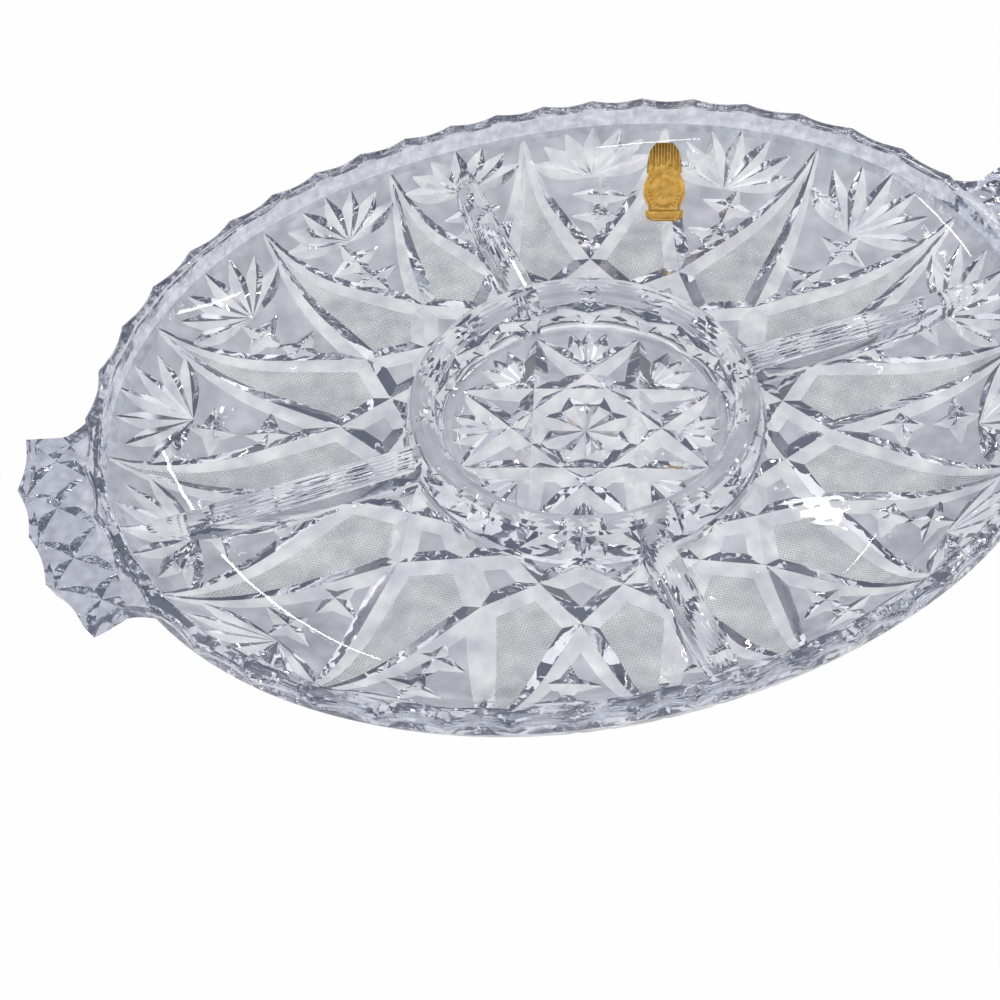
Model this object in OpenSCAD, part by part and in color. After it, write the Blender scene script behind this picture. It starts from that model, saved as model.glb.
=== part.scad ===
// Oval pressed-glass relish tray: a round centre well inside a raised ring,
// four compartments around it, a scalloped rim and two flat tab handles.
// Millimetres. Z is up, the origin is the middle of the base on the table,
// and X runs from one handle to the other. The fans and straps that are pressed
// into the outside of the wall and the lattice on the handles are cut here.

/* [Tray] */
// Length of the oval rim, without the handles
rim_length = 302; // [270:1:330]
// Width of the oval rim
rim_width = 249; // [225:1:280]
// Power of the oval's curve: 2 is a plain ellipse, more is fuller on the diagonals
rim_fullness = 2.08; // [2:0.01:2.25]
// Height of the rim above the table
tray_h = 29.5; // [27:0.5:34]
// Thickness of the glass floor
floor_t = 6; // [4:0.5:8]
// Length of the flat part of the floor
floor_length = 196; // [180:1:215]
// Width of the flat part of the floor
floor_width = 188; // [180:1:196]
// How far the underside's flat runs past the flat floor
foot_margin = 2; // [1:0.5:4]
// Slope of the wall where it meets the rim, in degrees
wall_slope = 70; // [55:1:80]

/* [Rim] */
// Height of the upright band under the rim's edge
band_h = 6.5; // [4:0.5:9]
// Width of the rim from its points to the inside
band_t = 6.5; // [5:0.5:9]
// How far the underside of the wall sits in from the rim's points
band_inset = 1.4; // [0.5:0.1:3]
// Depth of each scallop along the rim
scallop_depth = 1.8; // [1:0.1:2.5]
// Number of scallops round the rim
scallops = 48; // [32:16:64]

/* [Centre well] */
// Radius of the flat floor inside the ring
well_r = 42; // [38:1:44]
// Radius of the ring at its foot, outside
ring_foot_r = 55.8; // [52:0.2:60]
// Height of the ring above the table
ring_h = 19; // [15:0.5:23]
// Radius of the ring's rounded top
ring_nose_r = 4.2; // [3:0.1:4.8]
// Radius of the circle that the rounded top follows
ring_top_r = 50; // [49:0.5:51]

/* [Dividers] */
// Width of each divider
divider_w = 8.4; // [6:0.2:12]
// Height of the dividers above the table
divider_h = 17; // [12:0.5:20]

/* [Handles] */
// How far each handle stands out from the rim
handle_reach = 19; // [17:0.5:35]
// Thickness of each handle
handle_t = 6.5; // [5:0.5:8]
// Drop from the rim to the top of the handles
handle_drop = 2; // [1:0.5:4]
// Width of each handle over its outer corners
handle_w = 75; // [60:1:90]
// Width of each handle at its neck
handle_neck_w = 68.4; // [50:0.2:80]
// Width of each handle where it leaves the rim
handle_root_w = 114; // [100:1:124]
// Distance from the handle's end back to its corners
handle_corner_back = 7.2; // [4:0.2:9]
// Distance from the handle's end back to its neck
handle_neck_back = 17.5; // [16:0.5:20]
// Depth of the scallops along the handle's end
handle_scallop = 1.2; // [0.5:0.1:2]
// Width of the grooves that cross on top of the handles
lattice_w = 4.6; // [3:0.2:6]
// Depth of the grooves that cross on top of the handles
lattice_depth = 1.5; // [0.8:0.1:2.5]

/* [Cut pattern] */
// Number of fans of leaves round the outside of the wall
fans = 16; // [16:16:32]
// Number of leaves in each fan
leaves = 9; // [5:2:11]
// Spread of each fan at its leaves' tips, in degrees round the tray
fan_spread = 17; // [12:1:20]
// Depth of each leaf's cut below its two ends
leaf_depth = 0.6; // [0.3:0.1:1.2]
// Width of the straps that run up the wall to the rim
strap_w = 6.4; // [4:0.2:8]
// Depth of the straps
strap_depth = 1.4; // [1:0.1:2.5]

/* [Label] */
// Width of the foil label
label_w = 14.5; // [10:0.5:20]
// Length of the foil label, seen from above
label_l = 27; // [20:0.5:32]
// Thickness of the foil label
label_t = 0.3; // [0.2:0.05:0.5]
// Distance of the label's middle from the centre of the tray
label_r = 109; // [100:1:115]
// Direction of the label from the centre, in degrees
label_angle = 54.4; // [48:0.2:62]
// Turn of the label away from that direction, in degrees
label_turn = 13; // [0:1:30]

/* [Hidden] */

overrun = 1;
normal_step = 0.01;
normal_turn = 1;
lattice_back_share = 0.95;
handle_draft_share = 0.012;
handle_bend_share = 0.33;
handle_root_back_share = 1.05;
flare_steps = 6;
cut_reach_share = 5;
label_cap_share = 0.5;
label_seal_share = 0.66;
label_foot_share = 0.82;
leaf_flatness = 3;
fan_foot_share = 0.38;
leaf_top_share = 0.95;
leaf_drop_share = 0.16;

// Straps up the wall: share of the wall's arc, of the turn from the rim point,
// of the strap's width, and of its depth that is left below the ends of the cut
strap_shares = [[0.02, 0.52, 1, 0.7], [0.34, 0.25, 0.8, 0.6], [0.64, 0.09, 0.55, 0.5],
                [0.97, 0, 0.3, 0.5]];
scallop_steps = 4;
wall_segments = 64;
wall_steps = 5;
round_facets = 96;

rim_a = rim_length / 2;
rim_b = rim_width / 2;
floor_a = floor_length / 2;
floor_b = floor_width / 2;
band_z = tray_h - band_h;
handle_end = rim_a + handle_reach;
handle_z = tray_h - handle_drop - handle_t;
glass = [0.80, 0.82, 0.88];
foil = [0.80, 0.58, 0.20];

// Point of an oval, half as long as a and half as wide as b, in direction t
function oval_point(a, b, t, inset = 0) =
    let (n = rim_fullness,
         r = pow(pow(abs(cos(t)) / a, n) + pow(abs(sin(t)) / b, n), -1 / n) - inset)
    [r * cos(t), r * sin(t)];

function oval(a, b, n) = [for (i = [0:n - 1]) oval_point(a, b, i * 360 / n)];

// The rim's outline: points turned outwards with a hollow arc between each two
function scalloped_oval(a, b) =
    let (n = scallops * scallop_steps)
    [for (i = [0:n - 1])
        oval_point(a, b, i * 360 / n,
                   scallop_depth * sin((i % scallop_steps) * 180 / scallop_steps))];

// A cove from the flat floor up to the rim, as levels of half length, half width and height
function cove(a0, b0, z0, a1, b1, z1) =
    [for (i = [0:wall_steps])
        let (t = wall_slope * i / wall_steps,
             out = sin(t) / sin(wall_slope),
             up = (1 - cos(t)) / (1 - cos(wall_slope)))
        [a0 + (a1 - a0) * out, b0 + (b1 - b0) * out, z0 + (z1 - z0) * up]];

// A closed solid through a stack of ovals
module oval_loft(levels) {
    n = wall_segments;
    m = len(levels);
    points = [for (level = levels, p = oval(level[0], level[1], n)) [p[0], p[1], level[2]]];
    sides = [for (j = [0:m - 2], i = [0:n - 1])
        let (a = j * n + i, b = j * n + (i + 1) % n)
        each [[a, b + n, b], [a, a + n, b + n]]];
    bottom = [for (i = [0:n - 1]) i];
    top = [for (i = [n - 1:-1:0]) (m - 1) * n + i];
    polyhedron(points, concat([bottom], sides, [top]));
}

// The tray's outside up to the band, as if it were solid
module outer_body() {
    oval_loft(cove(floor_a + foot_margin, floor_b + foot_margin, 0,
                   rim_a - band_inset, rim_b - band_inset, band_z));
}

// The space inside the tray over the floor, drawn in by the given amount
module cavity(inset = 0) {
    levels = cove(floor_a - inset, floor_b - inset, floor_t,
                  rim_a - band_t - inset, rim_b - band_t - inset, band_z);
    top = levels[wall_steps];
    oval_loft(concat(levels, [[top[0], top[1], tray_h + overrun]]));
}

module quadrant(side, end) {
    intersection() {
        children();
        translate([end > 0 ? 0 : -rim_length, side > 0 ? 0 : -rim_length, -overrun])
            cube([rim_length, rim_length, tray_h + 3 * overrun]);
    }
}

module well_floor() {
    color(glass) cylinder(r = well_r, h = floor_t, $fn = round_facets);
}

module centre_ring() {
    nose_z = ring_h - ring_nose_r;
    color(glass) rotate_extrude($fn = round_facets) {
        polygon([[well_r, 0], [ring_foot_r, 0], [ring_foot_r, floor_t],
                 [ring_top_r + ring_nose_r, nose_z], [ring_top_r - ring_nose_r, nose_z],
                 [well_r, floor_t]]);
        translate([ring_top_r, nose_z]) circle(r = ring_nose_r, $fn = round_facets);
    }
}

module floor_quarter(side, end) {
    color(glass) quadrant(side, end) difference() {
        linear_extrude(floor_t) polygon(oval(floor_a, floor_b, wall_segments));
        translate([0, 0, -overrun])
            cylinder(r = ring_foot_r, h = floor_t + 2 * overrun, $fn = round_facets);
    }
}

// Point of the wall's outside, at a share of the way from its foot to the band
function wall_point(t, share) =
    let (turn = wall_slope * share,
         out = sin(turn) / sin(wall_slope),
         up = (1 - cos(turn)) / (1 - cos(wall_slope)),
         a = floor_a + foot_margin, b = floor_b + foot_margin,
         p = oval_point(a + (rim_a - band_inset - a) * out, b + (rim_b - band_inset - b) * out, t))
    [p[0], p[1], band_z * up];

// Direction out of the glass at that point
function wall_normal(t, share) =
    let (rise = wall_point(t, share + normal_step) - wall_point(t, share - normal_step),
         n = cross(rise, wall_point(t + normal_turn, share) - wall_point(t - normal_turn, share)))
    -n / norm(n);

// A V cut from p to q, open in direction n and as deep as given below both ends
module v_cut(p, q, n, w, depth) {
    along = (q - p) / norm(q - p);
    sideways = cross(n, along);
    across = sideways / norm(sideways);
    up = cross(along, across);
    reach = cut_reach_share * depth;
    half = w / 2 * (1 + cut_reach_share);
    multmatrix([[across[0], up[0], along[0], p[0]],
                [across[1], up[1], along[1], p[1]],
                [across[2], up[2], along[2], p[2]],
                [0, 0, 0, 1]])
        linear_extrude(norm(q - p))
            polygon([[0, -depth], [half, reach], [-half, reach]]);
}

// One fan of leaves that spread from its foot up the wall
module fan_cuts(t) {
    for (i = [0:leaves - 1]) {
        side = (2 * i - leaves + 1) / (leaves - 1);
        tip_share = leaf_top_share - leaf_drop_share * side * side;
        v_cut(wall_point(t, fan_foot_share), wall_point(t + side * fan_spread / 2, tip_share),
              wall_normal(t + side * fan_spread / 4, (fan_foot_share + tip_share) / 2),
              leaf_depth * leaf_flatness, leaf_depth);
    }
}

// The two straps that run from either side up to the rim in direction t
module strap_cuts(t) {
    for (turn = [-1, 1], i = [0:len(strap_shares) - 2]) {
        p = strap_shares[i];
        q = strap_shares[i + 1];
        tp = t + turn * p[1] * 180 / fans;
        tq = t + turn * q[1] * 180 / fans;
        v_cut(wall_point(tp, p[0]), wall_point(tq, q[0]),
              wall_normal((tp + tq) / 2, (p[0] + q[0]) / 2),
              strap_w * p[2], strap_depth * p[2] * p[3]);
    }
}

module wall_quarter(side, end) {
    first = (side > 0 ? (end > 0 ? 0 : 1) : (end > 0 ? 3 : 2)) * fans / 4;
    color(glass) quadrant(side, end) difference() {
        outer_body();
        cavity();
        translate([0, 0, -overrun])
            linear_extrude(floor_t + overrun) polygon(oval(floor_a, floor_b, wall_segments));
        for (k = [0:fans / 4]) fan_cuts((first + k) * 360 / fans);
        for (k = [0:fans / 4 - 1]) strap_cuts((first + k + 1 / 2) * 360 / fans);
    }
}

module rim() {
    color(glass) translate([0, 0, band_z]) linear_extrude(band_h) difference() {
        polygon(scalloped_oval(rim_a, rim_b));
        polygon(oval(rim_a - band_t, rim_b - band_t, wall_segments));
    }
}

// A divider lies on the floor from the ring to the wall, with a round top
module divider(angle) {
    nose = divider_w / 2;
    color(glass) intersection() {
        difference() {
            rotate([90, 0, angle + 90]) linear_extrude(rim_a) {
                translate([-nose, floor_t]) square([divider_w, divider_h - nose - floor_t]);
                translate([0, divider_h - nose]) circle(r = nose, $fn = round_facets);
            }
            cylinder(r1 = ring_foot_r, r2 = ring_top_r + ring_nose_r,
                     h = floor_t, $fn = round_facets);
            rotate_extrude($fn = round_facets)
                polygon([[0, floor_t], [ring_foot_r, floor_t],
                         [ring_top_r + ring_nose_r, ring_h - ring_nose_r],
                         [ring_top_r + ring_nose_r, ring_h], [0, ring_h]]);
        }
        cavity();
    }
}

// Tips and corners of one side of a handle's end, from the middle outwards
handle_tips = [[handle_end, 0],
               [handle_end - handle_corner_back * 0.1, handle_w / 4],
               [handle_end - handle_corner_back, handle_w / 2]];
handle_neck = [handle_end - handle_neck_back, handle_neck_w / 2];

// Ends of the grooves that cross on top of a handle: the tips and the points further in
lattice_lines = [for (side = [-1, 1])
    each [[handle_tips[0], handle_inner(side / 2)],
          [side_of(handle_tips[1], side), handle_inner(0)],
          [side_of(handle_tips[1], side), side_of(handle_neck, side)],
          [side_of(handle_tips[2], side), handle_inner(side / 2)]]];

function side_of(p, side) = [p[0], p[1] * side];

function handle_inner(side) = [handle_end - lattice_back_share * handle_neck_back,
                               side * handle_w / 2];

// A shallow hollow arc between two points of the handle's end
function hollow(p, q, depth) =
    [for (i = [0:scallop_steps - 1])
        let (s = i / scallop_steps, run = q - p, out = [run[1], -run[0]] / norm(run))
        p + run * s - out * depth * sin(180 * s)];

// The flare from the neck out to the rim, which it meets almost along the rim's curve
function flare() =
    let (root = [rim_a - handle_root_back_share * handle_neck_back, handle_root_w / 2],
         bend = [handle_neck[0] - handle_bend_share * handle_neck_back, handle_neck[1]])
    [for (i = [0:flare_steps])
        let (s = i / flare_steps)
        handle_neck * (1 - s) * (1 - s) + bend * 2 * s * (1 - s) + root * s * s];

module handle_outline() {
    side = concat(hollow(handle_tips[0], handle_tips[1], handle_scallop),
                  hollow(handle_tips[1], handle_tips[2], handle_scallop),
                  [handle_tips[2]], flare(),
                  [[rim_a - 2 * handle_neck_back, handle_root_w / 2]]);
    other_side = [for (i = [len(side) - 1:-1:1]) [side[i][0], -side[i][1]]];
    polygon(concat(side, other_side));
}

module lattice_cuts() {
    for (line = lattice_lines) {
        p = line[0];
        q = line[1];
        run = (q - p) / norm(q - p);
        v_cut([p[0] - run[0] * overrun, p[1] - run[1] * overrun, handle_z + handle_t],
              [q[0], q[1], handle_z + handle_t], [0, 0, 1], lattice_w, lattice_depth);
    }
}

module handle() {
    color(glass) difference() {
        translate([0, 0, handle_z + handle_t]) mirror([0, 0, 1])
            linear_extrude(handle_t, scale = 1 - handle_draft_share) handle_outline();
        lattice_cuts();
        outer_body();
        translate([0, 0, band_z])
            linear_extrude(band_h) polygon(scalloped_oval(rim_a, rim_b));
    }
}

// A thin leaf that lies up the inside of the wall: an oval seal with a foot and a cap
module foil_label() {
    color(foil) intersection() {
        difference() {
            cavity();
            translate([0, 0, label_t]) cavity();
        }
        rotate(label_angle) translate([label_r, 0, 0]) rotate(label_turn)
            linear_extrude(tray_h) {
                square([label_l, label_w * label_cap_share], center = true);
                scale([label_seal_share * label_l / label_w, 1])
                    circle(d = label_w, $fn = round_facets / 2);
                translate([-label_l / 2, -label_w * label_foot_share / 2])
                    square([label_l * label_cap_share / 2, label_w * label_foot_share]);
            }
    }
}

well_floor();
centre_ring();
floor_quarter(-1, -1);  // floor_front_left
floor_quarter(-1, 1);  // floor_front_right
floor_quarter(1, -1);  // floor_back_left
floor_quarter(1, 1);  // floor_back_right
wall_quarter(-1, -1);  // wall_front_left
wall_quarter(-1, 1);  // wall_front_right
wall_quarter(1, -1);  // wall_back_left
wall_quarter(1, 1);  // wall_back_right
rim();
divider(-90);  // divider_front
divider(90);  // divider_back
divider(180);  // divider_left
divider(0);  // divider_right
rotate([0, 0, 180]) handle();  // handle_left
handle();  // handle_right
foil_label();
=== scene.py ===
# Looks of the oval pressed-glass relish tray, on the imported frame. Metres.
# X runs from handle to handle, Z is up and the tray stands on z = 0.
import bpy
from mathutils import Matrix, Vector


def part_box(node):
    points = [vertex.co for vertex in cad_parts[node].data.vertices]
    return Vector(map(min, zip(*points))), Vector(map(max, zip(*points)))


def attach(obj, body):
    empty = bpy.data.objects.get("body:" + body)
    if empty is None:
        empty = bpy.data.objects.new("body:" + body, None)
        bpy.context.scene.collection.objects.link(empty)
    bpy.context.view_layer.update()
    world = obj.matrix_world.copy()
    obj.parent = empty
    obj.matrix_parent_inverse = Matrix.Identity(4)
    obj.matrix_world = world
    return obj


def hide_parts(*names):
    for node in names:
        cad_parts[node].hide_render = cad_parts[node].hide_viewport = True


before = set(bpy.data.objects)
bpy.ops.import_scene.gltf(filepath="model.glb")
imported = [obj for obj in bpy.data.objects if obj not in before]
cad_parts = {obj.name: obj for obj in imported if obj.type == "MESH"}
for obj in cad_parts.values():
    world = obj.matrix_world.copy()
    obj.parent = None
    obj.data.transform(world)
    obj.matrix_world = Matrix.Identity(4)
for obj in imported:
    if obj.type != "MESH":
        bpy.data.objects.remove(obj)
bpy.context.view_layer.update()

from math import acos, atan2, cos, pi, radians, sin, sqrt

import bmesh
import bpy
from mathutils import Matrix, Vector

MM = 0.001
UP, DOWN = Vector((0, 0, 1)), Vector((0, 0, -1))

# Sizes that the frame gives
RIM_A, RIM_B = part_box("rim")[1].x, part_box("rim")[1].y
BAND_Z, TRAY_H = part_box("rim")[0].z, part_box("rim")[1].z
FLOOR_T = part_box("well_floor")[1].z
FLOOR_A, FLOOR_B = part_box("floor_back_right")[1].x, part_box("floor_back_right")[1].y
RING_FOOT_R, RING_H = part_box("centre_ring")[1].x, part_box("centre_ring")[1].z
DIVIDER_W, DIVIDER_H = 2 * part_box("divider_right")[1].y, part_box("divider_right")[1].z
HANDLE_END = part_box("handle_right")[1].x
HANDLE_LOW, HANDLE_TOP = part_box("handle_right")[0].z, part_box("handle_right")[1].z

# Sizes of the pressing that are finer than the frame
SIDES = 288
FILLET = 2.4 * MM
FOOT_MARGIN = 2 * MM
WALL_SLOPE, WALL_STEPS = radians(55), 14
BAND_INSET, BAND_T = 1.4 * MM, 6.5 * MM
RIM_FULLNESS = 2.08
RIM_LAND, RIM_KINK = 4.6 * MM, 0.6 * MM
RIM_ROUND, RIM_ROUND_STEPS = 2.2 * MM, 5
RIM_INNER_ROUND, RIM_INNER_TURNS = 1.1 * MM, (radians(35), radians(70))
SCALLOPS, SCALLOP_DEPTH = 48, 1.8 * MM

# The ring's rounded nose, in degrees from level, and the well inside it, whose foot has flats
# that run out as it rises
RING_TOP_R, RING_NOSE_R = 50 * MM, 4.2 * MM
NOSE_START, NOSE_SWEEP = 5, 150
RING_FOOT_TURNS = (90, 60, 30, NOSE_START)
RING_FOOT_SINK = FILLET * 0.2
WELL_FLAT_R, WELL_SLOPE = 39 * MM, radians(74)
WELL_FLATS_FADE = 3
ROUND_STEPS = 8

# The dividers start this far down in the floor
DIVIDER_SINK = 1.2 * MM
DIVIDER_FOOT_STEPS, DIVIDER_TOP_STEPS = 4, 12

# How far the forms that cut a groove or a lozenge stand out of the glass
GROOVE_REACH, LOZENGE_REACH = 0.6 * MM, 1 * MM

# The cut pattern: a fan at each sixteenth of the round, and straps that cross below it
FANS = 16
STEP = 2 * pi / FANS
INNER_CROSS_R, MID_CROSS_R, OUTER_CROSS_R = 57 * MM, 62.8 * MM, 76.4 * MM
STRAP_LEAD, STRAP_LEAD_STEPS = 4 * MM, 1.16
STRAP_W, STRAP_DEPTH, STRAP_TIP_W = 9 * MM, 2.1 * MM, 1.2 * MM
STRAP_TOP_Z, STRAP_STEPS, STRAP_DEEPENS = 18.5 * MM, 12, 0.4
FAN_A, FAN_B = 124.5 * MM, 112.8 * MM
LEAVES = 7
LEAF_TURN, LEAF_LEAN, LEAF_TOP_Z = radians(11), radians(69), 19.5 * MM
LEAF_W, LEAF_DEPTH, LEAF_FULLEST = 6.8 * MM, 2.4 * MM, 0.6
LEAF_STEPS, LEAF_TIP = 8, 0.1

# Two four-pointed stars below each fan: half length and half width of the oval that they lie
# on, and how far they reach along the ray and across it
STARS = [(98.5 * MM, 98 * MM, 7.5 * MM, 9.5 * MM), (118 * MM, 106 * MM, 7.5 * MM, 10 * MM)]
STAR_ARM_W, STAR_ARM_DEPTH, STAR_ARM_FULLEST = 6.8 * MM, 2.2 * MM, 0.5
STAR_TURN = radians(2.4)

# The eight-pointed star of the well: along each of its lines, a place and its share of the
# full cut, then the rays inside the star and the leaves between its points, which lean by
# degrees
STAR_R = 43.5 * MM
STAR_W, STAR_DEPTH = 9.4 * MM, 2.6 * MM
STAR_TIP_W, STAR_TIP_DEPTH = 0.6 * MM, 0.2 * MM
STAR_LINE = ((0.12, 0.75), (0.25, 1), (0.75, 1), (0.88, 0.75))
LOZENGE_FULLEST = 0.55
RAY_START, RAY_W, RAY_DEPTH = 0.3 * MM, 8.6 * MM, 2.4 * MM
WELL_LEAF_W, WELL_LEAF_DEPTH = 5.6 * MM, 2.2 * MM
WELL_LEAF_FOOT_R, WELL_LEAF_TIP_R = STAR_R * 0.66, STAR_R * 1.01
WELL_LEAF_FOOT_LEAN, WELL_LEAF_TIP_LEAN = 2, 8

# Halvings of the search for a point of the surface, and the step to each side for its normal
HALVINGS, NORMAL_STEP = 24, 0.2 * MM


# Distance from the middle to the edge of an oval in direction t; equal halves give a circle
def oval_r(a, b, t):
    power = 2 if a == b else RIM_FULLNESS
    return ((abs(cos(t)) / a) ** power + (abs(sin(t)) / b) ** power) ** (-1 / power)


def on_ellipse(a, b, t):
    r = a * b / sqrt((b * cos(t)) ** 2 + (a * sin(t)) ** 2)
    return polar(r, t)


def polar(r, t):
    return Vector((r * cos(t), r * sin(t), 0))


# A cove from (a0, b0, z0), where it lies flat, up to (a1, b1, z1)
def cove(a0, b0, z0, a1, b1, z1, share):
    t = WALL_SLOPE * share
    out = sin(t) / sin(WALL_SLOPE)
    up = (1 - cos(t)) / (1 - cos(WALL_SLOPE))
    return a0 + (a1 - a0) * out, b0 + (b1 - b0) * out, z0 + (z1 - z0) * up


# Half length, half width and height of the wall, at a share of the way from its foot to the
# band under the rim
def outside_level(share):
    return cove(FLOOR_A + FOOT_MARGIN, FLOOR_B + FOOT_MARGIN, 0,
                RIM_A - BAND_INSET, RIM_B - BAND_INSET, BAND_Z, share)


def inside_level(share):
    return cove(FLOOR_A, FLOOR_B, FLOOR_T, RIM_A - BAND_T, RIM_B - BAND_T, BAND_Z, share)


# The point of the wall's underside in direction t, at a height
def underside_at_height(t, height):
    rise = height / BAND_Z * (1 - cos(WALL_SLOPE))
    a, b, z = outside_level(acos(1 - rise) / WALL_SLOPE)
    r = oval_r(a, b, t)
    return Vector((r * cos(t), r * sin(t), z))


# The point of the tray's outside, or of its inside, over a plan point
def surface_over(x, y, level):
    t = atan2(y, x)
    r = sqrt(x * x + y * y)
    a, b, z = level(0.0)
    if r <= oval_r(a, b, t):
        return Vector((x, y, z))
    low, high = 0.0, 1.0
    for _ in range(HALVINGS):
        mid = (low + high) / 2
        a, b, z = level(mid)
        if oval_r(a, b, t) < r:
            low = mid
        else:
            high = mid
    return Vector((x, y, level(low)[2]))


def underside_over(x, y):
    return surface_over(x, y, outside_level)


# The upward normal of that surface over a point
def normal_over(point, level):
    run = []
    for dx, dy in ((NORMAL_STEP, 0), (0, NORMAL_STEP)):
        here = surface_over(point.x - dx, point.y - dy, level)
        there = surface_over(point.x + dx, point.y + dy, level)
        run.append(there - here)
    return run[0].cross(run[1]).normalized()


def outward_normal(point):
    return -normal_over(point, outside_level)


def verts_in(geom):
    return [g for g in geom if isinstance(g, bmesh.types.BMVert)]


def new_piece(name, bm):
    mesh = bpy.data.meshes.new(name)
    bm.to_mesh(mesh)
    bm.free()
    piece = bpy.data.objects.new(name, mesh)
    bpy.context.scene.collection.objects.link(piece)
    return piece


# A stack of closed loops, each extruded from the last: half length, half width, height,
# depth of the hollows along the loop and their number
def lofted(levels):
    def place(verts, level):
        a, b, z, depth, hollows = level
        per = SIDES / hollows
        for v in verts:
            side = round(atan2(v.co.y, v.co.x) * SIDES / (2 * pi)) % SIDES
            t = side * 2 * pi / SIDES
            r = oval_r(a, b, t) - depth * sin(pi * (side % per) / per)
            v.co = (r * cos(t), r * sin(t), z)

    bm = bmesh.new()
    foot = bmesh.ops.create_circle(bm, cap_ends=True, segments=SIDES, radius=1)["verts"]
    edges = bm.edges[:]
    place(foot, levels[0])
    for level in levels[1:]:
        made = bmesh.ops.extrude_edge_only(bm, edges=edges)["geom"]
        edges = [g for g in made if isinstance(g, bmesh.types.BMEdge) and g.is_boundary]
        place(verts_in(made), level)
    bmesh.ops.holes_fill(bm, edges=edges, sides=0)
    bmesh.ops.recalc_face_normals(bm, faces=bm.faces)
    return bm


def outside_levels():
    return [outside_level(i / WALL_STEPS) + (0, 1) for i in range(WALL_STEPS + 1)]


def rim_level(inset, z, depth):
    return RIM_A - inset, RIM_B - inset, z, depth, SCALLOPS


# The whole tray but for its dividers, handles and cuts: up the outside, over the rim, down
# the inside, over the ring and down into the well
def tray_levels():
    levels = outside_levels()
    levels.append(rim_level(0, TRAY_H - RIM_ROUND, SCALLOP_DEPTH))
    for i in range(1, RIM_ROUND_STEPS + 1):
        t = radians(90 * i / RIM_ROUND_STEPS)
        levels.append(rim_level(RIM_ROUND * (1 - cos(t)), TRAY_H - RIM_ROUND * (1 - sin(t)),
                                SCALLOP_DEPTH))
    levels.append(rim_level(RIM_LAND, TRAY_H, RIM_KINK))
    for t in RIM_INNER_TURNS:
        levels.append(rim_level(RIM_LAND + RIM_INNER_ROUND * sin(t),
                                TRAY_H - RIM_INNER_ROUND * (1 - cos(t)), RIM_KINK))
    levels += [inside_level(1 - i / WALL_STEPS) + (0, 1) for i in range(WALL_STEPS + 1)]
    for t in map(radians, RING_FOOT_TURNS):
        r = RING_FOOT_R + FILLET * (1 - cos(t)) - RING_FOOT_SINK
        levels.append((r, r, FLOOR_T + FILLET * (1 - sin(t)), 0, 1))
    nose_z = RING_H - RING_NOSE_R
    for i in range(ROUND_STEPS + 1):
        t = radians(NOSE_START + NOSE_SWEEP * i / ROUND_STEPS)
        r = RING_TOP_R + RING_NOSE_R * cos(t)
        levels.append((r, r, nose_z + RING_NOSE_R * sin(t), 0, 1))
    edge_r = RING_TOP_R - RING_NOSE_R
    for i in range(ROUND_STEPS + 1):
        t = WELL_SLOPE * (1 - i / ROUND_STEPS)
        out = sin(t) / sin(WELL_SLOPE)
        up = (1 - cos(t)) / (1 - cos(WELL_SLOPE))
        r = WELL_FLAT_R + (edge_r - WELL_FLAT_R) * out
        flats = r * (1 - cos(pi / FANS)) * max(0, 1 - WELL_FLATS_FADE * up)
        levels.append((r, r, FLOOR_T + (nose_z - FLOOR_T) * up, flats, FANS))
    return levels


# Joins two closed pieces, or cuts or keeps what they share, and drops the second one
def combine(piece, other, how):
    change = piece.modifiers.new("combine", "BOOLEAN")
    change.operation = how
    change.solver = "MANIFOLD"
    change.object = other
    graph = bpy.context.evaluated_depsgraph_get()
    mesh = bpy.data.meshes.new_from_object(piece.evaluated_get(graph))
    piece.modifiers.remove(change)
    piece.data = mesh
    bpy.data.objects.remove(other)
    return piece


# Across a divider: a foot that flares into the floor on each side, and a round top
def divider_profile():
    half = DIVIDER_W / 2
    foot = []
    for i in range(DIVIDER_FOOT_STEPS + 1):
        t = radians(90) * i / DIVIDER_FOOT_STEPS
        foot.append((half + FILLET * (1 - sin(t)), FLOOR_T + FILLET * (1 - cos(t))))
    top = []
    for i in range(1, DIVIDER_TOP_STEPS):
        t = pi * i / DIVIDER_TOP_STEPS
        top.append((half * cos(t), DIVIDER_H - half + half * sin(t)))
    other_foot = [(-y, z) for y, z in reversed(foot)]
    sunk = FLOOR_T - DIVIDER_SINK
    return [(half + FILLET, sunk)] + foot + top + other_foot + [(-half - FILLET, sunk)]


def dividers():
    bm = bmesh.new()
    for k in range(4):
        turn = Matrix.Rotation(k * pi / 2, 4, "Z")
        face = bm.faces.new([bm.verts.new(turn @ Vector((RING_TOP_R, y, z)))
                             for y, z in divider_profile()])
        grown = bmesh.ops.extrude_face_region(bm, geom=[face])["geom"]
        bmesh.ops.translate(bm, verts=verts_in(grown),
                            vec=turn @ Vector((RIM_A - RING_TOP_R, 0, 0)))
    bmesh.ops.recalc_face_normals(bm, faces=bm.faces)
    return new_piece("dividers", bm)


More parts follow.
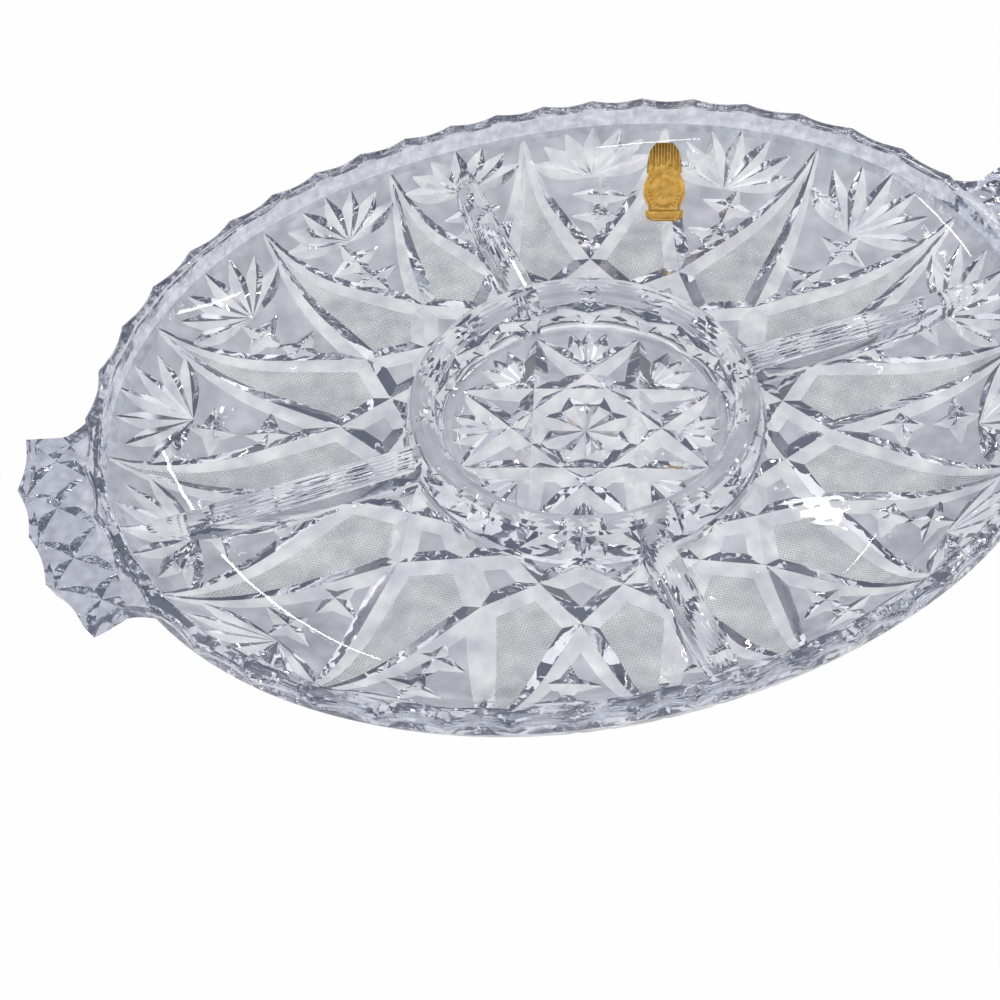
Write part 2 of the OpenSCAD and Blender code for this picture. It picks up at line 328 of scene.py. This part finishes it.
# The handles: half widths at the end, the neck and the root, how far corner and neck lie
# back from the end and the root from the rim's edge, the scallops of the end, how far the
# plate goes into the rim, and how much smaller its lower face is
HANDLE_HALF, HANDLE_NECK, HANDLE_ROOT = 37.5 * MM, 34.2 * MM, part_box("handle_right")[1].y
CORNER_BACK, NECK_BACK = 7.2 * MM, 17.5 * MM
HANDLE_SCALLOP, HANDLE_SINK, HANDLE_DRAFT = 1.2 * MM, 3.5 * MM, 0.012
FLARE_BEND, FLARE_ROOT, ROOT_BACK = 0.33 * NECK_BACK, 1.05 * NECK_BACK, 2 * NECK_BACK
NECK = Vector((HANDLE_END - NECK_BACK, HANDLE_NECK, 0))
HANDLE_TIPS = [Vector((HANDLE_END, 0, 0)),
               Vector((HANDLE_END - 0.1 * CORNER_BACK, HANDLE_HALF / 2, 0)),
               Vector((HANDLE_END - CORNER_BACK, HANDLE_HALF, 0))]


# From the middle of the handle's end round to its root inside the wall, and back
def handle_outline():
    steps = 8
    side = []
    for p, q in zip(HANDLE_TIPS, HANDLE_TIPS[1:]):
        run = q - p
        out = run.cross(UP).normalized()
        side += [p + run * (i / steps) - out * HANDLE_SCALLOP * sin(pi * i / steps)
                 for i in range(steps)]
    side += [HANDLE_TIPS[2], NECK]
    bend = NECK - Vector((FLARE_BEND, 0, 0))
    root = Vector((RIM_A - FLARE_ROOT, HANDLE_ROOT, 0))
    for i in range(1, steps + 1):
        s = i / steps
        side.append(NECK * (1 - s) ** 2 + bend * 2 * s * (1 - s) + root * s * s)
    side.append(Vector((RIM_A - ROOT_BACK, HANDLE_ROOT, 0)))
    return side + [Vector((p.x, -p.y, 0)) for p in reversed(side[1:])]


def handles():
    bm = bmesh.new()
    for turn in (Matrix.Identity(4), Matrix.Rotation(pi, 4, "Z")):
        face = bm.faces.new([bm.verts.new(turn @ (p + UP * HANDLE_LOW))
                             for p in handle_outline()])
        grown = bmesh.ops.extrude_face_region(bm, geom=[face])["geom"]
        for v in verts_in(grown):
            v.co.z = HANDLE_TOP
        for v in bm.verts:
            if v.co.z < HANDLE_TOP - MM and v.co.x * turn[0][0] > 0:
                v.co.x *= 1 - HANDLE_DRAFT
                v.co.y *= 1 - HANDLE_DRAFT
    bmesh.ops.recalc_face_normals(bm, faces=bm.faces)
    core = [(RIM_A - HANDLE_SINK, RIM_B - HANDLE_SINK, z, 0, 1)
            for z in (HANDLE_LOW - MM, TRAY_H)]
    return combine(new_piece("handles", bm), new_piece("core", lofted(core)), "DIFFERENCE")


# A closed bar through rings of points, each ring extruded from the last
def add_bar(bm, rings):
    face = bm.faces.new([bm.verts.new(p) for p in rings[0]])
    for i, ring in enumerate(rings[1:]):
        grown = bmesh.ops.extrude_face_region(bm, geom=[face])["geom"]
        if i:
            bmesh.ops.delete(bm, geom=[face], context="FACES_ONLY")
        face = next(g for g in grown if isinstance(g, bmesh.types.BMFace))
        for v, p in zip(face.verts, ring):
            v.co = p


# A V cut swept along stations of (point, outward normal, width, depth)
def add_groove(bm, stations):
    rings = []
    for i, (p, n, width, depth) in enumerate(stations):
        ahead = stations[min(i + 1, len(stations) - 1)][0] - stations[max(i - 1, 0)][0]
        across = ahead.cross(n).normalized() * (width / 2)
        lip = 1 + GROOVE_REACH / depth
        rings.append([p + n * GROOVE_REACH + across * lip, p - n * depth,
                      p + n * GROOVE_REACH - across * lip])
    add_bar(bm, rings)


# A leaf-shaped cut along the underside, pointed at both ends
def add_leaf(bm, start, end, width, depth, fullest):
    stations = []
    for i in range(LEAF_STEPS + 1):
        s = i / LEAF_STEPS
        p = start.lerp(end, s)
        q = underside_over(p.x, p.y)
        bow = s / fullest if s < fullest else (1 - s) / (1 - fullest)
        full = max(LEAF_TIP, sin(pi / 2 * bow))
        stations.append((q, outward_normal(q), width * full, depth * full))
    add_groove(bm, stations)


# A cut into the flat underside that is deepest near its middle, with a point at each end
def add_lozenge(bm, p, q, width, depth):
    across = (q - p).cross(DOWN).normalized()
    mid = p.lerp(q, LOZENGE_FULLEST)
    outline = [p, mid + across * width / 2, q, mid - across * width / 2]
    corners = outline + [mid - DOWN * depth] + [c + DOWN * LOZENGE_REACH for c in outline]
    bmesh.ops.convex_hull(bm, input=[bm.verts.new(c) for c in corners])


# Cuts away the forms that fill() makes; those of one cut don't cross each other
def cut(piece, fill):
    bm = bmesh.new()
    fill(bm)
    bmesh.ops.recalc_face_normals(bm, faces=bm.faces)
    return combine(piece, new_piece("cutter", bm), "DIFFERENCE")


# One strap, from the ring out over the crossings and up the wall to its tip
def add_strap(bm, t, turn):
    top = underside_at_height(t + turn * STEP / 2, STRAP_TOP_Z)
    path = [polar(INNER_CROSS_R - STRAP_LEAD, t - turn * STEP * STRAP_LEAD_STEPS),
            polar(MID_CROSS_R, t - turn * STEP / 2),
            polar(OUTER_CROSS_R, t)]
    shares = [0, 0, 0]
    last = path[-1]
    for i in range(1, STRAP_STEPS + 1):
        s = i / STRAP_STEPS
        path.append(Vector((last.x + (top.x - last.x) * s, last.y + (top.y - last.y) * s, 0)))
        shares.append(s)
    stations = []
    for p, s in zip(path, shares):
        q = underside_over(p.x, p.y)
        width = STRAP_W + (STRAP_TIP_W - STRAP_W) * s ** 2
        depth = STRAP_DEPTH * width / STRAP_W * (1 + STRAP_DEEPENS * s)
        stations.append((q, outward_normal(q), width, depth))
    add_groove(bm, stations)


def cut_straps(tray):
    for turn in (-1, 1):
        def straps(bm):
            for k in range(FANS):
                add_strap(bm, k * STEP, turn)
        cut(tray, straps)


def fan_apex(t):
    p = on_ellipse(FAN_A, FAN_B, t)
    return underside_over(p.x, p.y)


def cut_fans(tray):
    half = (LEAVES - 1) / 2
    for j in range(LEAVES):
        lean = (j - half) / half * LEAF_LEAN

        def leaves(bm):
            for k in range(FANS):
                t = k * STEP
                foot = fan_apex(t)
                z = foot.z + (LEAF_TOP_Z - foot.z) * cos(lean)
                end = underside_at_height(t + sin(lean) * LEAF_TURN, z)
                add_leaf(bm, foot, end, LEAF_W, LEAF_DEPTH, LEAF_FULLEST)
        cut(tray, leaves)


def cut_small_stars(tray):
    for radial in (True, False):
        def arms(bm):
            for k in range(FANS):
                t = k * STEP - STAR_TURN * sin(2 * k * STEP)
                for a, b, long, wide in STARS:
                    c = on_ellipse(a, b, t)
                    along = polar(1, t) * long if radial else polar(1, t + pi / 2) * wide
                    add_leaf(bm, c - along, c + along, STAR_ARM_W, STAR_ARM_DEPTH,
                             STAR_ARM_FULLEST)
        cut(tray, arms)


def add_star_line(bm, p, q):
    stations = [(p, DOWN, STAR_TIP_W, STAR_TIP_DEPTH)]
    stations += [(p.lerp(q, s), DOWN, STAR_W * full, STAR_DEPTH * full)
                 for s, full in STAR_LINE]
    add_groove(bm, stations + [(q, DOWN, STAR_TIP_W, STAR_TIP_DEPTH)])


def cut_well_star(tray):
    eighth = pi / 4
    heart = STAR_R * cos(1.5 * eighth) / cos(eighth / 2)
    for i in range(4):
        def lines(bm):
            for k in (i, i + 4):
                add_star_line(bm, polar(STAR_R, k * eighth), polar(STAR_R, (k + 3) * eighth))
        cut(tray, lines)
    for i in range(2):
        def rays(bm):
            for k in range(i, 8, 2):
                add_lozenge(bm, polar(RAY_START, k * eighth), polar(heart, k * eighth),
                            RAY_W, RAY_DEPTH)
        cut(tray, rays)
    for j in (-1, 0, 1):
        def leaves(bm):
            for k in range(8):
                t = (k + 0.5) * eighth
                add_lozenge(bm, polar(WELL_LEAF_FOOT_R, t + radians(j * WELL_LEAF_FOOT_LEAN)),
                            polar(WELL_LEAF_TIP_R, t + radians(j * WELL_LEAF_TIP_LEAN)),
                            WELL_LEAF_W, WELL_LEAF_DEPTH)
        cut(tray, leaves)


# The handles' lattice: where its lines cross on half a handle, the full cut, and along the
# outer and the inner stretch of each line a place and its share of that cut
LATTICE_NEAR = Vector((HANDLE_END - 8.2 * MM, 10.2 * MM, 0))
LATTICE_FAR = Vector((HANDLE_END - 12 * MM, 28 * MM, 0))
LATTICE_HEART = Vector((HANDLE_END - 16.4 * MM, 0, 0))
LATTICE_SIDE = Vector((HANDLE_END - 18.2 * MM, 19.9 * MM, 0))
LATTICE_W, LATTICE_DEPTH = 7.6 * MM, 2.3 * MM
LATTICE_OUTER = ((0, 0.15), (0.3, 0.75), (0.6, 1))
LATTICE_INNER = ((0, 0.8), (0.4, 1), (0.7, 0.75), (1, 0.15))


def add_lattice_line(bm, p, q, r):
    places = [(p.lerp(q, s), full) for s, full in LATTICE_OUTER]
    places += [(q.lerp(r, s), full) for s, full in LATTICE_INNER]
    add_groove(bm, [(place, DOWN, LATTICE_W * full, LATTICE_DEPTH * full)
                    for place, full in places])


def cut_handles(tray):
    one_way = [(HANDLE_TIPS[0], LATTICE_NEAR, LATTICE_SIDE),
               (HANDLE_TIPS[1], LATTICE_FAR, NECK)]
    other_way = [(HANDLE_TIPS[1], LATTICE_NEAR, LATTICE_HEART),
                 (HANDLE_TIPS[2], LATTICE_FAR, LATTICE_SIDE)]
    for lines in (one_way, other_way):
        for mirror in (1, -1):
            def lattice(bm):
                for end in (1, -1):
                    for line in lines:
                        add_lattice_line(bm, *(Vector((end * v.x, end * mirror * v.y, 0))
                                               * (1 - HANDLE_DRAFT) + UP * HANDLE_LOW
                                               for v in line))
            cut(tray, lattice)


# Finishes of the glass, in the order of the tray's materials: shade, roughness, how close
# and how deep the waves are, and whether it has the fine cross-hatch of the kites. The shade
# is painted light and shade on one clear glass: lighter and bluer on the cut facets, darker
# on the moulded underside, the kites, the handles and the rim.
FINISHES_AND_PAINTED_SHADES = (("smooth_crystal", (0.84, 0.86, 0.92), 0.01, 90, 0.1 * MM, False),
            ("cut_crystal_painted_light", (0.87, 0.91, 1.0), 0.01, 170, 0.16 * MM, False),
            ("stippled_crystal_painted_shade", (0.575, 0.575, 0.575), 0.14, 150, 0.2 * MM, True),
            ("moulded_crystal_painted_shade", (0.37, 0.39, 0.445), 0.03, 150, 0.25 * MM, False),
            ("rippled_crystal_painted_shade", (0.55, 0.57, 0.65), 0.02, 260, 0.42 * MM, False),
            ("soft_crystal_painted_shade", (0.72, 0.74, 0.80), 0.1, 330, 0.42 * MM, False))
SMOOTH, CUT, STIPPLED, MOULDED, RIPPLED, SOFT = range(len(FINISHES_AND_PAINTED_SHADES))

# How a face gets its finish and its painted shade: above a height it is rim, or handle where
# it lies beyond the rim; facing up it is the inside; near the uncut underside and at its tilt
# it is moulded
RIM_FROM_Z, BEYOND_RIM, FACES_UP = 20.5 * MM, 0.3 * MM, -0.2
UNCUT_GAP, UNCUT_TILT = 0.3 * MM, 0.985

WELD = 0.002 * MM
GLASS_CREASE, LABEL_CREASE = radians(14), radians(50)


# Whether a point lies in a kite between the straps, which the mould leaves stippled
def in_kite(x, y):
    t = atan2(y, x)
    middle = (int(t // STEP) + 0.5) * STEP
    r = sqrt(x * x + y * y)
    along, across = r * cos(t - middle), abs(r * sin(t - middle))
    shoulder = OUTER_CROSS_R * cos(STEP / 2), OUTER_CROSS_R * sin(STEP / 2)
    if along < shoulder[0]:
        return across * (shoulder[0] - MID_CROSS_R) < shoulder[1] * (along - MID_CROSS_R)
    tip = underside_at_height(middle, STRAP_TOP_Z).length
    return across * (tip - shoulder[0]) < shoulder[1] * (tip - along)


def finish_and_painted_shade_of(face):
    middle = face.calc_center_median()
    if middle.z > RIM_FROM_Z:
        out = sqrt(middle.x ** 2 + middle.y ** 2)
        edge = oval_r(RIM_A, RIM_B, atan2(middle.y, middle.x))
        return RIPPLED if out > edge + BEYOND_RIM else SOFT
    if face.normal.z > FACES_UP:
        return SMOOTH
    point = underside_over(middle.x, middle.y)
    if (abs(point.z - middle.z) > UNCUT_GAP
            or face.normal.dot(outward_normal(point)) < UNCUT_TILT):
        return CUT
    return STIPPLED if in_kite(middle.x, middle.y) else MOULDED


# The vertices that hang together with one of them
def island_of(vert):
    island, to_follow = {vert}, [vert]
    while to_follow:
        for edge in to_follow.pop().link_edges:
            for v in edge.verts:
                if v not in island:
                    island.add(v)
                    to_follow.append(v)
    return island


# Clears what crossing cuts leave behind: a sheet folded flat (two faces on the same corners),
# splinters apart from the tray, and the slits that are left then
def clear_splinters(bm):
    pairs = {}
    for face in bm.faces:
        pairs.setdefault(frozenset(v.index for v in face.verts), []).append(face)
    folded = [face for same in pairs.values() if len(same) > 1 for face in same]
    bmesh.ops.delete(bm, geom=folded, context="FACES")
    tray = island_of(max(bm.verts, key=lambda v: v.co.x))
    bmesh.ops.delete(bm, geom=[v for v in bm.verts if v not in tray], context="VERTS")
    bmesh.ops.delete(bm, geom=[e for e in bm.edges if not e.link_faces], context="EDGES")
    bmesh.ops.holes_fill(bm, edges=[e for e in bm.edges if e.is_boundary], sides=0)


def make_tray():
    tray = new_piece("glass_tray", lofted(tray_levels()))
    bars = combine(dividers(), new_piece("outside", lofted(outside_levels())), "INTERSECT")
    combine(tray, bars, "UNION")
    combine(tray, handles(), "UNION")
    cut_fans(tray)
    cut_straps(tray)
    cut_small_stars(tray)
    cut_well_star(tray)
    cut_handles(tray)
    tray.data.materials.clear()
    bm = bmesh.new()
    bm.from_mesh(tray.data)
    bmesh.ops.dissolve_degenerate(bm, edges=bm.edges, dist=WELD)
    clear_splinters(bm)
    bm.normal_update()
    for face in bm.faces:
        face.smooth = True
        face.material_index = finish_and_painted_shade_of(face)
    for edge in bm.edges:
        if len(edge.link_faces) == 2:
            edge.smooth = edge.calc_face_angle(0) < GLASS_CREASE
    bm.to_mesh(tray.data)
    bm.free()
    return tray


# The foil label: a plain embossed seal with a fluted cap and a banded foot, laid up the
# inside of the wall. Places along it are measured from its middle towards the cap.
LABEL_R, LABEL_ANGLE, LABEL_TURN = 109 * MM, radians(54.4), radians(13)
LABEL_HALF, LABEL_WAIST, LABEL_BORDER = 13.3 * MM, 5.5 * MM, 0.8 * MM
LABEL_T, LABEL_RELIEF, LABEL_GAP = 0.25 * MM, 0.4 * MM, 0.02 * MM
LABEL_ALONG, LABEL_ACROSS = 96, 52
SEAL_AT, SEAL_LONG, SEAL_WIDE = -0.8 * MM, 8.6 * MM, 7.1 * MM
CAP_WIDE, CAP_FOOT, CAP_TAPER, CAP_ROUND = 6.1 * MM, 5.5 * MM, 0.15, 0.4
FOOT_WIDE, FOOT_TOP, FOOT_ROUND = 6.4 * MM, -8.8 * MM, 0.4
FOOT_BAND, FOOT_END_BAND = 0.9 * MM, 3.4 * MM
CAP_FLUTES, SEAL_BEADS, SEAL_PETALS = 6, 26, 8
BEADS_FROM, BEADS_TO, PETALS_TO = 0.66, 0.8, 0.5
RAISED, GROUND = 0.9, 0.35


def label_half_width(s):
    wide = LABEL_WAIST if s < CAP_FOOT else 0
    q = (s - SEAL_AT) / SEAL_LONG
    if abs(q) < 1:
        wide = max(wide, SEAL_WIDE * sqrt(1 - q * q))
    if s > CAP_FOOT:
        q = (s - CAP_FOOT) / (LABEL_HALF - CAP_FOOT)
        wide = max(wide, CAP_WIDE * (1 - CAP_TAPER * q - CAP_ROUND * q ** 5))
    if s < FOOT_TOP:
        q = (FOOT_TOP - s) / (FOOT_TOP + LABEL_HALF)
        wide = FOOT_WIDE * (1 - FOOT_ROUND * q ** 4)
    return wide


# Height of the embossing, from 0 to 1, at s along the label and w across it
def label_relief(s, w):
    plain = RAISED if label_half_width(s) - abs(w) < LABEL_BORDER else GROUND
    if s < FOOT_TOP:
        return RAISED if not FOOT_BAND <= FOOT_TOP - s <= FOOT_END_BAND else plain
    q, p = (s - SEAL_AT) / SEAL_LONG, w / SEAL_WIDE
    out, turn = sqrt(q * q + p * p), atan2(p, q)
    if s > CAP_FOOT and out > 1:
        return 0.45 + 0.45 * cos(w / CAP_WIDE * CAP_FLUTES * pi)
    if BEADS_FROM < out < BEADS_TO:
        return 0.55 + 0.4 * cos(turn * SEAL_BEADS)
    if out < PETALS_TO:
        return 0.5 + 0.45 * cos(turn * SEAL_PETALS) * min(1, out * 4) * (1 - out)
    return plain


def make_label():
    bm = bmesh.new()
    bmesh.ops.create_grid(bm, x_segments=LABEL_ALONG, y_segments=LABEL_ACROSS, size=1)
    middle = polar(LABEL_R, LABEL_ANGLE)
    axis, side = polar(1, LABEL_ANGLE + LABEL_TURN), polar(1, LABEL_ANGLE + LABEL_TURN + pi / 2)
    for v in bm.verts:
        s = v.co.x * LABEL_HALF
        w = v.co.y * label_half_width(s)
        p = middle + axis * s + side * w
        q = surface_over(p.x, p.y, inside_level)
        v.co = q + normal_over(q, inside_level) * LABEL_GAP
    grown = bmesh.ops.extrude_face_region(bm, geom=bm.faces[:])["geom"]
    for v in verts_in(grown):
        q = surface_over(v.co.x, v.co.y, inside_level)
        p = v.co - middle
        flat = Vector((p.x, p.y, 0))
        relief = label_relief(flat.dot(axis), flat.dot(side))
        v.co += normal_over(q, inside_level) * (LABEL_T + LABEL_RELIEF * relief)
    bmesh.ops.recalc_face_normals(bm, faces=bm.faces)
    for face in bm.faces:
        face.smooth = True
    for edge in bm.edges:
        edge.smooth = edge.calc_face_angle(0) < LABEL_CREASE
    return new_piece("gold_label", bm)


# A node with its settings, and the values of its inputs
def node(tree, kind, inputs=(), **settings):
    made = tree.nodes.new(kind)
    for name, value in settings.items():
        setattr(made, name, value)
    for name, value in inputs:
        made.inputs[name].default_value = value
    return made


# A colour ramp through stops of (place, colour)
def ramp(tree, stops):
    made = node(tree, "ShaderNodeValToRGB")
    ends = made.color_ramp.elements
    for end, (place, colour) in zip(ends, (stops[0], stops[-1])):
        end.position, end.color = place, tuple(colour) + (1,)
    for place, colour in stops[1:-1]:
        ends.new(place).color = tuple(colour) + (1,)
    return made


def new_material(name):
    made = bpy.data.materials.new(name)
    made.use_nodes = True
    return made


# Slow waves that the mould leaves on pressed glass, as a height
def make_ripple_group():
    group = bpy.data.node_groups.new("mould_ripple", "ShaderNodeTree")
    group.interface.new_socket("Scale", in_out="INPUT", socket_type="NodeSocketFloat")
    group.interface.new_socket("Height", in_out="OUTPUT", socket_type="NodeSocketFloat")
    start = node(group, "NodeGroupInput")
    end = node(group, "NodeGroupOutput")
    where = node(group, "ShaderNodeTexCoord")
    noise = node(group, "ShaderNodeTexNoise", [("Detail", 1.5)])
    group.links.new(where.outputs["Object"], noise.inputs["Vector"])
    group.links.new(start.outputs["Scale"], noise.inputs["Scale"])
    group.links.new(noise.outputs["Fac"], end.inputs["Height"])
    return group


# Pressed crystal. Its shade is painted lighter on the waves' crests and darker in their
# hollows, painted light and shade that follows the bump, and a faint cool glow, painted light,
# keeps the facets from going black.
GLASS_IOR = 1.53
GLOW, GLOW_COLOUR = 0.028, (0.6, 0.65, 0.9, 1)
WAVE_PAINTED_LIGHT_AND_SHADE = ((0.32, 0.72), (0.68, 1.2))
WAVE_STRENGTH = 0.5
HATCH_SCALE, HATCH_DEPTH = 349, 0.15 * MM
HATCH_TURNS = radians(38), radians(-52)


# Bands both ways over the kites, as a bump on top of the waves
def add_hatch(tree, waves):
    where = node(tree, "ShaderNodeTexCoord")
    both = node(tree, "ShaderNodeMath", operation="MULTIPLY")
    for i, turn in enumerate(HATCH_TURNS):
        place = node(tree, "ShaderNodeMapping", [("Rotation", (0, 0, turn))])
        lines = node(tree, "ShaderNodeTexWave", [("Scale", HATCH_SCALE)],
                     wave_type="BANDS", bands_direction="X")
        tree.links.new(where.outputs["Object"], place.inputs["Vector"])
        tree.links.new(place.outputs["Vector"], lines.inputs["Vector"])
        tree.links.new(lines.outputs["Fac"], both.inputs[i])
    hatch = node(tree, "ShaderNodeBump", [("Strength", 1.0), ("Distance", HATCH_DEPTH)])
    tree.links.new(both.outputs[0], hatch.inputs["Height"])
    tree.links.new(waves.outputs["Normal"], hatch.inputs["Normal"])
    return hatch


def make_glass(ripple, name, shade, rough, scale, depth, hatched):
    glass = new_material(name)
    tree = glass.node_tree
    shader = tree.nodes["Principled BSDF"]
    shader.inputs["Roughness"].default_value = rough
    shader.inputs["IOR"].default_value = GLASS_IOR
    shader.inputs["Transmission Weight"].default_value = 1.0
    shader.inputs["Emission Color"].default_value = GLOW_COLOUR
    shader.inputs["Emission Strength"].default_value = GLOW
    # Painted light and shade: the shade is lighter on the waves' crests and darker in their
    # hollows
    tint_and_painted_shade = ramp(tree, [(place, [min(1, share * c) for c in shade])
                       for place, share in WAVE_PAINTED_LIGHT_AND_SHADE])
    waves = node(tree, "ShaderNodeGroup", node_tree=ripple)
    waves.inputs["Scale"].default_value = scale
    bump = node(tree, "ShaderNodeBump", [("Strength", WAVE_STRENGTH), ("Distance", depth)])
    tree.links.new(waves.outputs["Height"], bump.inputs["Height"])
    tree.links.new(waves.outputs["Height"], tint_and_painted_shade.inputs["Fac"])
    tree.links.new(tint_and_painted_shade.outputs["Color"], shader.inputs["Base Color"])
    if hatched:
        bump = add_hatch(tree, bump)
    tree.links.new(bump.outputs["Normal"], shader.inputs["Normal"])
    return glass


# Gold foil with faint creases, duller in them and darker in them with painted shade
FOIL_GOLD_AND_CREASE_SHADE = ((0.3, (0.50, 0.28, 0.06)), (0.7, (0.72, 0.44, 0.12)))
FOIL_ROUGH, FOIL_SMOOTH = 0.38, 0.22
CREASE_SCALE, CREASE_STRENGTH, CREASE_DEPTH = 420, 0.35, 0.1 * MM


def make_foil(ripple):
    foil = new_material("gold_foil")
    tree = foil.node_tree
    shader = tree.nodes["Principled BSDF"]
    shader.inputs["Metallic"].default_value = 1.0
    creases = node(tree, "ShaderNodeGroup", node_tree=ripple)
    creases.inputs["Scale"].default_value = CREASE_SCALE
    # Painted shade: the gold is darker in the creases
    tint_and_painted_shade = ramp(tree, FOIL_GOLD_AND_CREASE_SHADE)
    dull = node(tree, "ShaderNodeMapRange",
                [("To Min", FOIL_ROUGH), ("To Max", FOIL_SMOOTH)])
    bump = node(tree, "ShaderNodeBump",
                [("Strength", CREASE_STRENGTH), ("Distance", CREASE_DEPTH)])
    tree.links.new(creases.outputs["Height"], tint_and_painted_shade.inputs["Fac"])
    tree.links.new(creases.outputs["Height"], dull.inputs["Value"])
    tree.links.new(creases.outputs["Height"], bump.inputs["Height"])
    tree.links.new(tint_and_painted_shade.outputs["Color"], shader.inputs["Base Color"])
    tree.links.new(dull.outputs["Result"], shader.inputs["Roughness"])
    tree.links.new(bump.outputs["Normal"], shader.inputs["Normal"])
    return foil


# A round room, up from the level of the eye: pale, then a dark band from about 16 to 40
# degrees that the glass's facets reflect, and white overhead
SKY_LOW, SKY_HIGH = (0.93, 0.94, 0.97), (1.0, 1.0, 1.0)
SKY_BANDS = ((0.20, 0.90), (0.27, 0.12), (0.64, 0.14), (0.78, 1.0))
SKY_RED, SKY_GREEN = 0.97, 0.98


def make_world():
    world = bpy.data.worlds.new("studio")
    bpy.context.scene.world = world
    world.use_nodes = True
    tree = world.node_tree
    tree.nodes.clear()
    where = node(tree, "ShaderNodeTexCoord")
    split = node(tree, "ShaderNodeSeparateXYZ")
    bands = [(place, (shade * SKY_RED, shade * SKY_GREEN, shade))
             for place, shade in SKY_BANDS]
    sky = ramp(tree, [(0.0, SKY_LOW)] + bands + [(1.0, SKY_HIGH)])
    room = node(tree, "ShaderNodeBackground")
    out = node(tree, "ShaderNodeOutputWorld")
    tree.links.new(where.outputs["Generated"], split.inputs[0])
    tree.links.new(split.outputs["Z"], sky.inputs["Fac"])
    tree.links.new(sky.outputs["Color"], room.inputs["Color"])
    tree.links.new(room.outputs[0], out.inputs["Surface"])


# White paper: what the eye sees of it, straight or through the glass, is plain white
# apart from the tray's shadow. For each kind of ray, the share that is plain white.
PAPER_HALF, PAPER_DROP = 4, 0.3 * MM
PAPER_COLOUR = (0.8, 0.8, 0.8, 1)
PLAIN_WHITE = (("Is Camera Ray", 0.985), ("Is Glossy Ray", 0.6), ("Is Transmission Ray", 0.68))


def make_floor():
    bm = bmesh.new()
    bmesh.ops.create_grid(bm, x_segments=1, y_segments=1, size=PAPER_HALF)
    bmesh.ops.translate(bm, verts=bm.verts, vec=DOWN * PAPER_DROP)
    floor = new_piece("floor", bm)
    paper = new_material("white_paper")
    tree = paper.node_tree
    tree.nodes.clear()
    diffuse = node(tree, "ShaderNodeBsdfDiffuse", [("Color", PAPER_COLOUR)])
    glow = node(tree, "ShaderNodeEmission", [("Strength", 1.0)])
    path = node(tree, "ShaderNodeLightPath")
    share = None
    for kind, white in PLAIN_WHITE:
        part = node(tree, "ShaderNodeMath", [(1, white)], operation="MULTIPLY")
        tree.links.new(path.outputs[kind], part.inputs[0])
        if share:
            most = node(tree, "ShaderNodeMath", operation="MAXIMUM")
            tree.links.new(share.outputs[0], most.inputs[0])
            tree.links.new(part.outputs[0], most.inputs[1])
            part = most
        share = part
    mix = node(tree, "ShaderNodeMixShader")
    out = node(tree, "ShaderNodeOutputMaterial")
    tree.links.new(share.outputs[0], mix.inputs["Fac"])
    tree.links.new(diffuse.outputs[0], mix.inputs[1])
    tree.links.new(glow.outputs[0], mix.inputs[2])
    tree.links.new(mix.outputs[0], out.inputs["Surface"])
    floor.data.materials.append(paper)


# Lamps that face the tray: place, size and watts. The thin ones are the windows whose white
# streaks show in the glass, and the last one gives its one white patch.
LAMPS = (("window_left", (-1.4, 0.6, 1.5), (1.3, 0.035), 2.2),
         ("window_back", (1.0, 1.4, 1.3), (0.9, 0.035), 1.6),
         ("window_right", (1.7, -0.3, 1.2), (0.05, 0.8), 1.6),
         ("window_front", (-0.6, -1.6, 1.6), (0.7, 0.035), 1.2),
         ("soft_box", (0.667, 1.085, 1.5), (0.05, 0.014), 0.035))


def make_lamp(name, place, size, power):
    lamp = bpy.data.lights.new(name, "AREA")
    lamp.shape = "RECTANGLE"
    lamp.size, lamp.size_y = size
    lamp.energy = power
    holder = bpy.data.objects.new(name, lamp)
    bpy.context.scene.collection.objects.link(holder)
    holder.location = place
    holder.rotation_euler = (-Vector(place)).to_track_quat("-Z", "Y").to_euler()


# The photograph's view: the camera's direction, distance and focal length in pixels
VIEW_AZIMUTH, VIEW_ELEVATION, VIEW_ROLL = radians(-21.88), radians(49.37), radians(-0.11)
VIEW_DISTANCE = 676.3 * MM
FOCAL_PX, FRAME_PX, CENTRE_X_PX = 2235.0, 1000.0, 621.1
VIEW_TARGET = Vector((-0.48, -30.6, 3)) * MM


def make_camera():
    camera = bpy.data.cameras.new("camera")
    camera.sensor_width = 36
    camera.lens = FOCAL_PX / FRAME_PX * camera.sensor_width
    camera.shift_x = (FRAME_PX / 2 - CENTRE_X_PX) / FRAME_PX
    holder = bpy.data.objects.new("camera", camera)
    bpy.context.scene.collection.objects.link(holder)
    back = Vector((sin(VIEW_AZIMUTH) * cos(VIEW_ELEVATION),
                   -cos(VIEW_AZIMUTH) * cos(VIEW_ELEVATION), sin(VIEW_ELEVATION)))
    turn = (-back).to_track_quat("-Z", "Y").to_matrix().to_4x4()
    holder.matrix_world = (Matrix.Translation(VIEW_TARGET + back * VIEW_DISTANCE) @ turn
                           @ Matrix.Rotation(VIEW_ROLL, 4, "Z"))
    bpy.context.scene.camera = holder


def main():
    bpy.context.scene.view_settings.view_transform = "Standard"
    make_camera()
    make_world()
    make_floor()
    for lamp in LAMPS:
        make_lamp(*lamp)
    ripple = make_ripple_group()
    tray = make_tray()
    for finish in FINISHES_AND_PAINTED_SHADES:
        tray.data.materials.append(make_glass(ripple, *finish))
    label = make_label()
    label.data.materials.append(make_foil(ripple))
    for piece in (tray, label):
        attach(piece, "root")
    glass_nodes = [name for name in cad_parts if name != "foil_label"]
    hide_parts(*glass_nodes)
    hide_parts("foil_label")


main()
